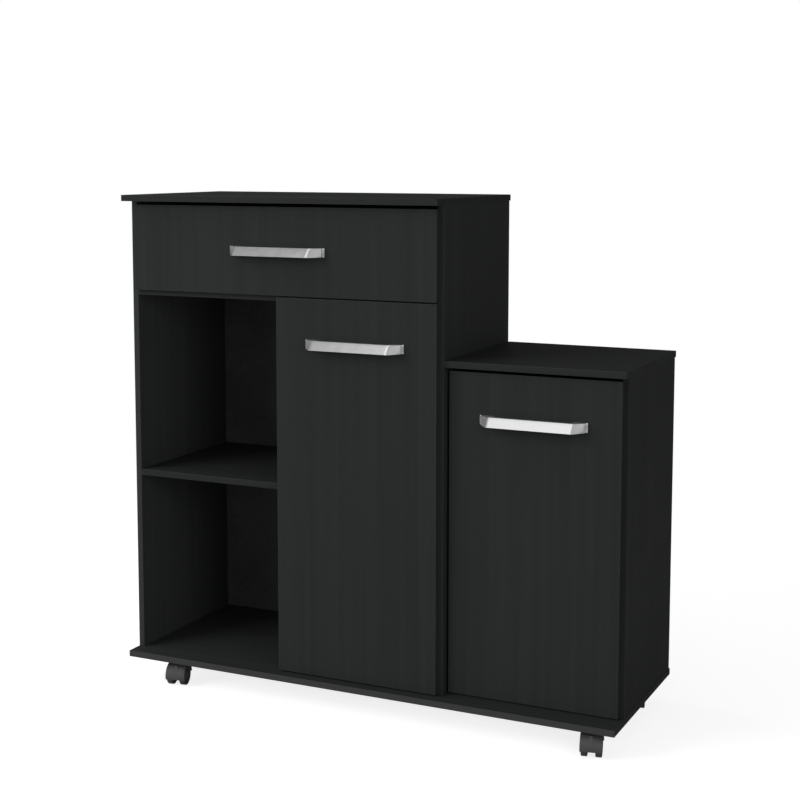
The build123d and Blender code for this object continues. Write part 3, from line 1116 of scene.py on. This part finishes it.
@dataclass
class Caster:
    """A twin-wheel swivel caster under the base board."""

    name: str
    stem: tuple[float, float]
    turned: float = math.radians(12.5)
    trail: float = 0.017
    radius: float = 0.020
    wheel_width: float = 0.0105
    wheel_rim: float = 0.0028
    wheel_dish: float = 0.0022
    wheel_disc: float = 0.0094
    hub_rise: float = 0.0026
    bore: float = 0.00256
    half_gap: float = 0.0075
    hood_inside: float = 0.0209
    hood_outside: float = 0.0223
    hood_half_width: float = 0.0195
    web: float = 0.0065
    top: float = 0.0417
    mouth: float = 0.0142
    mouth_slope: float = math.radians(9)
    neck_flank: float = 0.0025
    neck_depth: float = 0.008
    neck_rounding: float = 0.005
    nose_half_width: float = 0.0032
    nose_foot: float = 0.022
    nose_lean: float = 0.006
    stem_radius: float = 0.004
    stem_length: float = 0.006
    axle_radius: float = 0.0025
    half_axle: float = 0.018

    def wheel(self) -> Model:
        """Models the right wheel: a round-edged tread round a dished disc with a hub.

        Returns:
            The wheel, in the caster's own frame.
        """
        y, z, r = -self.trail, self.radius, self.radius
        wheel = Model.disc("wheel", r, (self.half_gap, y, z), self.wheel_width, Axis.X, 64)
        centred = lambda s: (s.place.yz - Vector((y, z))).length < NEAR
        with wheel:
            outer = wheel.faces(lambda s: s.way.x > ALONG and centred(s))
            outer.inset(self.wheel_rim).extrude((-self.wheel_dish, 0, 0))
            wheel.inset(self.wheel_disc).extrude((self.hub_rise, 0, 0))
            wheel.inset(r - self.wheel_rim - self.wheel_disc - self.bore)
            wheel.faces(lambda s: s.way.x < -ALONG and centred(s)).inset(r - self.bore)
            wheel.faces(lambda s: abs(s.way.x) > ALONG and centred(s)).bore()
        return wheel.soften(0.0008, 3)

    def hood(self) -> Model:
        """Models the hood over both wheels, with its neck, stem and axle.

        Returns:
            The hood, in the caster's own frame.
        """
        y, z, half = -self.trail, self.radius, self.hood_half_width
        hood = Model.disc("hood", self.hood_outside, (-half, y, z), 2 * half, Axis.X, 72)
        flank = self.web + self.neck_flank
        neck = Model.block("neck", (-flank, y, z), (flank, self.neck_depth, self.top))
        with neck:
            neck.edges(lambda s: abs(s.way.z) > ALONG and s.place.y > 0).bevel(self.neck_rounding, 5)
        hood.combine(neck, Joining.ADD).combine(self.nose(), Joining.ADD)
        for side in (-1, 1):
            hood.combine(Model.disc("room", self.hood_inside, (side * self.web, y, z), side * 0.02, Axis.X, 72))
        with hood:
            normal = (0, math.sin(self.mouth_slope), -math.cos(self.mouth_slope))
            hood.slice((0, y - self.hood_outside, self.mouth), normal, clear=True)
        hood.soften(0.0009, 3)
        stem = Model.disc("stem", self.stem_radius, (0, 0, self.top - 0.001), self.stem_length, Axis.Z, 32)
        hood.combine(stem, Joining.ADD)
        axle = Model.disc("axle", self.axle_radius, (-self.half_axle, y, z), 2 * self.half_axle, Axis.X, 32)
        return hood.combine(axle, Joining.ADD)

    def nose(self) -> Model:
        """Models the short rib that stands out over the front of the hood.

        Returns:
            The rib, in the caster's own frame.
        """
        y, half = -self.trail - self.hood_outside, self.nose_half_width
        nose = Model.block("nose", (-half, y + 0.002, self.nose_foot), (half, -self.trail, self.top - 0.0006))
        with nose:
            nose.points(lambda s: s.place.z > 0.03 and s.place.y < y + 0.003).move((0, self.nose_lean, 0))
            nose.edges(lambda s: s.place.y < y + 0.008 and abs(s.way.x) < 0.1).bevel(half / 2, 3)
        return nose

    def dress(self, wheel: Model, hood: Model, finishes: Finishes) -> None:
        """Copies the pattern wheel and hood to this caster.

        Args:
            wheel: The pattern of a right wheel.
            hood: The pattern of a hood.
            finishes: The cabinet's finishes.
        """
        place = Matrix.Translation((*self.stem, 0)) @ Matrix.Rotation(self.turned, 4, "Z")
        copy = hood.copy(f"{self.name}_moulded_hood", place)
        copy.fit(f"{self.name}_caster", "caster_grey", finishes.hood, (f"{self.name}_caster_hood",))
        about = Matrix.Translation((0, -self.trail, 0))
        half_turn = about @ Matrix.Rotation(math.pi, 4, "Z") @ about.inverted()
        for side, turn in (("right", Matrix.Identity(4)), ("left", half_turn)):
            copy = wheel.copy(f"{self.name}_{side}_moulded_wheel", place @ turn)
            node = f"{self.name}_caster_{side}_wheel"
            copy.fit(f"{self.name}_{side}_wheel", "wheel_grey", finishes.wheel, (node,))


@dataclass
class Fasteners:
    """The small fasteners of the handles, the caster plates, the base board and the backs."""

    fronts: Sequence[Front]
    casters: Sequence[Caster]
    handle_pitch: float = 0.160
    caster_pitch: float = 0.014
    caster_seat: float = 0.048
    base_inset: float = 0.04
    base_seat: float = 0.0501
    nail_inset: float = 0.02
    upright_nail_gap: float = 0.11
    flat_nail_gap: float = 0.12
    shared_nail_shift: float = 0.003

    def handle_seats(self, front: Front) -> list[Vector]:
        """Where a handle's screws sit, on the inside of its front."""
        x, y, z, half = front.middle(), front.back(), front.handle_height, self.handle_pitch / 2
        return [Vector((x + side * half, y, z)) for side in (-1, 1)]

    def caster_seats(self) -> list[Vector]:
        """Where the four screws of each caster's plate sit."""
        shifts = [(a * self.caster_pitch, b * self.caster_pitch) for a in (-1, 1) for b in (-1, 1)]
        return [Vector((c.stem[0] + x, c.stem[1] + y, self.caster_seat)) for c in self.casters for x, y in shifts]

    def base_seats(self) -> list[Vector]:
        """Where the long screws come up through the base board into the uprights.

        Returns:
            Three places under each upright.
        """
        seats = []
        for name in Carcass.upright_boards:
            low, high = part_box(name)
            x, depth, inset = (low.x + high.x) / 2, high.y - low.y, self.base_inset
            seats += [Vector((x, low.y + d, self.base_seat)) for d in (inset, depth / 2, depth - inset)]
        return seats

    def nail_seats(self) -> list[Vector]:
        """Where the nails hold both thin backs to the uprights and the flat boards.

        Returns:
            The nails' places.
        """
        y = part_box("tall_back_panel")[1].y
        seats = []
        for name in Carcass.upright_boards:
            low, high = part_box(name)
            x = (low.x + high.x) / 2 - (self.shared_nail_shift if name == "shared_side_panel" else 0.0)
            steps = max(2, round((high.z - low.z) / self.upright_nail_gap))
            span = high.z - low.z - 2 * self.nail_inset
            seats += [Vector((x, y, low.z + self.nail_inset + span * i / (steps - 1))) for i in range(steps)]
        for name in ("drawer_deck_board", "niche_shelf"):
            low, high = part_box(name)
            z, span = (low.z + high.z) / 2, high.x - low.x
            count = max(2, round(span / self.flat_nail_gap))
            seats += [Vector((low.x + span * (i + 0.5) / count, y, z)) for i in range(count)]
        return seats

    def drive(self, finishes: Finishes) -> None:
        """Drives them all.

        Args:
            finishes: The cabinet's finishes.
        """
        handle_screw = Screw(0.0042, 0.0022)
        for front in self.fronts:
            name = f"{front.board}_handle_screws"
            screws = ScrewSet(name, front.body, "hinge_steel", handle_screw, BACKWARD, self.handle_seats(front))
            screws.drive(finishes.nickel)
        for name, screw, way, seats, finish in (
            ("caster_plate_screws", Screw(0.0033, 0.0017), DOWNWARD, self.caster_seats(), finishes.zinc),
            ("base_board_screws", Screw(0.0045, 0.0004), DOWNWARD, self.base_seats(), finishes.zinc),
            ("back_panel_nails", Screw(0.0019, 0.0004, 0.0003, 12), BACKWARD, self.nail_seats(), finishes.black_screw),
        ):
            ScrewSet(name, "cabinet", "plate_steel", screw, way, seats).drive(finish)


@dataclass
class Lamp:
    """One soft studio lamp, aimed at the cabinet."""

    name: str
    place: tuple[float, float, float]
    target: tuple[float, float, float]
    size: float
    power: float

    def hang(self) -> None:
        """Adds the lamp."""
        data = bpy.data.lights.new(self.name, "AREA")
        arrange(data, {"shape": "DISK", "size": self.size, "energy": self.power})
        lamp = bpy.data.objects.new(self.name, data)
        turn = (Vector(self.target) - Vector(self.place)).to_track_quat("-Z", "Y").to_euler()
        arrange(lamp, {"location": self.place, "rotation_euler": turn, "visible_glossy": False})
        bpy.context.scene.collection.objects.link(lamp)


@dataclass
class Studio:
    """A pale floor that runs out to white, soft lamps, and the camera.

    A Ramp says how a light changes along one axis of the direction it comes from.
    """

    floor_size: float = 24.0
    floor_drop: float = 0.0002
    paper: tuple[Colour, Colour] = ((0.45, 0.45, 0.45), (0.47, 0.47, 0.47))
    white_from: tuple[float, float] = (1.2, 6.0)
    camera_place: tuple[float, float, float] = (1.2338, -2.6105, 1.0389)
    camera_turn: float = 0.4444
    camera_dip: float = 0.1067
    lens: float = 68.55
    shift: tuple[float, float] = (0.0135, -0.100)
    dim_side: float = 0.10
    ambient: float = 0.16
    front_ambient: Ramp = (-0.6, 0.0, 0.36, 0.0)
    ambient_turn: Ramp = (-0.7, 0.7, 1.2, 0.65)
    front_panel: Ramp = (-0.31, -0.05, 0.98, 0.0)
    front_right_end: Ramp = (0.10, 0.45, 1.0, 0.28)
    front_left_end: Ramp = (-0.50, -0.365, 0.0, 1.0)
    right_panel: Ramp = (0.45, 0.70, 0.0, 0.36)
    right_back_end: Ramp = (-0.10, 0.30, 1.0, 0.0)
    left_panel: Ramp = (-0.90, -0.70, 0.22, 0.0)
    floor_lift: float = 0.81
    lamps: tuple[Lamp, ...] = (
        Lamp("front_left_softbox", (-2.5, -2.7, 1.9), (0.0, 0.0, 0.5), 2.2, 76.0),
        Lamp("front_right_fill", (2.9, -2.5, 1.2), (0.0, 0.0, 0.5), 2.4, 43.0),
        Lamp("overhead_softbox", (-1.5, -0.2, 2.25), (-0.3, 0.0, 0.9), 2.0, 20.5),
    )

    def seen(self, shader: Shader) -> Signal:
        """One for the rays that show the background itself: from the camera or through glass."""
        path = shader.node("ShaderNodeLightPath").outputs
        return Signal(shader, path["Is Camera Ray"]).most(Signal(shader, path["Is Transmission Ray"]))

    def lay_floor(self) -> None:
        """Lays the floor, which keeps the cabinet's shadow and fades to white far off."""
        bpy.ops.object.select_all(action="DESELECT")
        bpy.ops.mesh.primitive_plane_add(size=self.floor_size, location=(0, 0, -self.floor_drop))
        floor = bpy.context.active_object
        floor.name = "studio_floor"
        shader = Shader.paint("studio_floor_paper")
        x, y, _ = shader.axes()
        far = (x * x + y * y).ramp(*self.white_from)
        tone = shader.blend(shader.noise(300.0, 2.0, 0.5), *self.paper)
        matte = shader.node("ShaderNodeBsdfDiffuse", inputs={"Color": tone})
        seen = self.seen(shader)
        lift, white = (
            shader.node("ShaderNodeEmission", inputs={"Color": WHITE, "Strength": strength})
            for strength in (seen * self.floor_lift, 1.0)
        )
        near = shader.node("ShaderNodeAddShader", inputs={0: matte.outputs[0], 1: lift.outputs[0]})
        mixed = shader.node("ShaderNodeMixShader", inputs={0: far * seen, 1: near.outputs[0], 2: white.outputs[0]})
        shader.node("ShaderNodeOutputMaterial", inputs={"Surface": mixed.outputs[0]})
        floor.data.materials.append(shader.owner)

    def light_world(self) -> None:
        """Makes the surroundings white to the eye, and a soft light from the front for the cabinet."""
        shader = Shader(bpy.data.worlds.new("studio"))
        bpy.context.scene.world = shader.owner
        x, y, _ = shader.axes(shader.node("ShaderNodeTexCoord").outputs["Generated"])
        front = y.ramp(*self.front_panel) * x.ramp(*self.front_right_end) * x.ramp(*self.front_left_end)
        right = x.ramp(*self.right_panel) * y.ramp(*self.right_back_end)
        soft = self.dim_side + front.most(right).most(x.ramp(*self.left_panel))
        ambient = self.ambient + y.ramp(*self.front_ambient) * x.ramp(*self.ambient_turn)
        mirrored = Signal(shader, shader.node("ShaderNodeLightPath").outputs["Is Glossy Ray"])
        light = ambient + mirrored * (soft - ambient)
        back = shader.node("ShaderNodeBackground", inputs={"Color": WHITE, "Strength": light.most(self.seen(shader))})
        shader.node("ShaderNodeOutputWorld", inputs={"Surface": back.outputs[0]})

    def set_camera(self) -> None:
        """Sets the camera at the photograph's viewing angle."""
        data = bpy.data.cameras.new("studio_camera")
        arrange(data, {"sensor_width": 36.0, "lens": self.lens, "clip_start": 0.05, "clip_end": 100.0})
        data.shift_x, data.shift_y = self.shift
        camera = bpy.data.objects.new("studio_camera", data)
        camera.location = self.camera_place
        camera.rotation_euler = (math.pi / 2 - self.camera_dip, 0, self.camera_turn)
        bpy.context.scene.collection.objects.link(camera)
        bpy.context.scene.camera = camera

    def build(self) -> None:
        """Sets up the whole studio."""
        self.set_camera()
        self.lay_floor()
        self.light_world()
        for lamp in self.lamps:
            lamp.hang()
        bpy.context.scene.view_settings.view_transform = "Standard"


def main() -> None:
    """Builds the studio and every part of the cabinet, in order."""
    logging.basicConfig(level=logging.INFO, format="%(name)s: %(message)s")
    Studio().build()
    finishes = Finishes()
    Carcass().dress(finishes)
    drawer_front = Front("drawer_front", "drawer", "drawer_handle", 0.8645)
    tall_door = Front("tall_door", "tall_door_assembly", "tall_door_handle", 0.6955)
    low_door = Front("low_door", "low_door_assembly", "low_door_handle", 0.5745)
    fronts = (drawer_front, tall_door, low_door)
    DrawerUnit(drawer_front).dress(finishes)
    tall_door.dress()
    low_door.dress()
    handle = BarHandle().build()
    for front in fronts:
        bar = handle.copy(f"{front.handle_node}_bar", front.handle_place())
        bar.fit(front.body, "handle_silver", finishes.silver, (front.handle_node,))
    handle.drop()
    Hinge("tall_door", 0.1556, -0.140, (0.160, 0.684)).dress(finishes)
    Hinge("low_door", 0.490, -0.1135, (0.160, 0.563)).dress(finishes)
    for name in ("hinge_plates", "hinge_arms"):
        CarriedNode(name, 0.0003).dress(finishes.nickel)
    CarriedNode("caster_plates", 0.0004).dress(finishes.zinc)
    casters = [
        Caster(f"{end}_{side}", (x, y))
        for end, y in (("front", -0.130), ("rear", 0.135))
        for side, x in (("left", -0.405), ("right", 0.448))
    ]
    wheel, hood = casters[0].wheel(), casters[0].hood()
    for caster in casters:
        caster.dress(wheel, hood, finishes)
    wheel.drop()
    hood.drop()
    Fasteners(fronts, casters).drive(finishes)


if __name__ == "__main__":
    main()
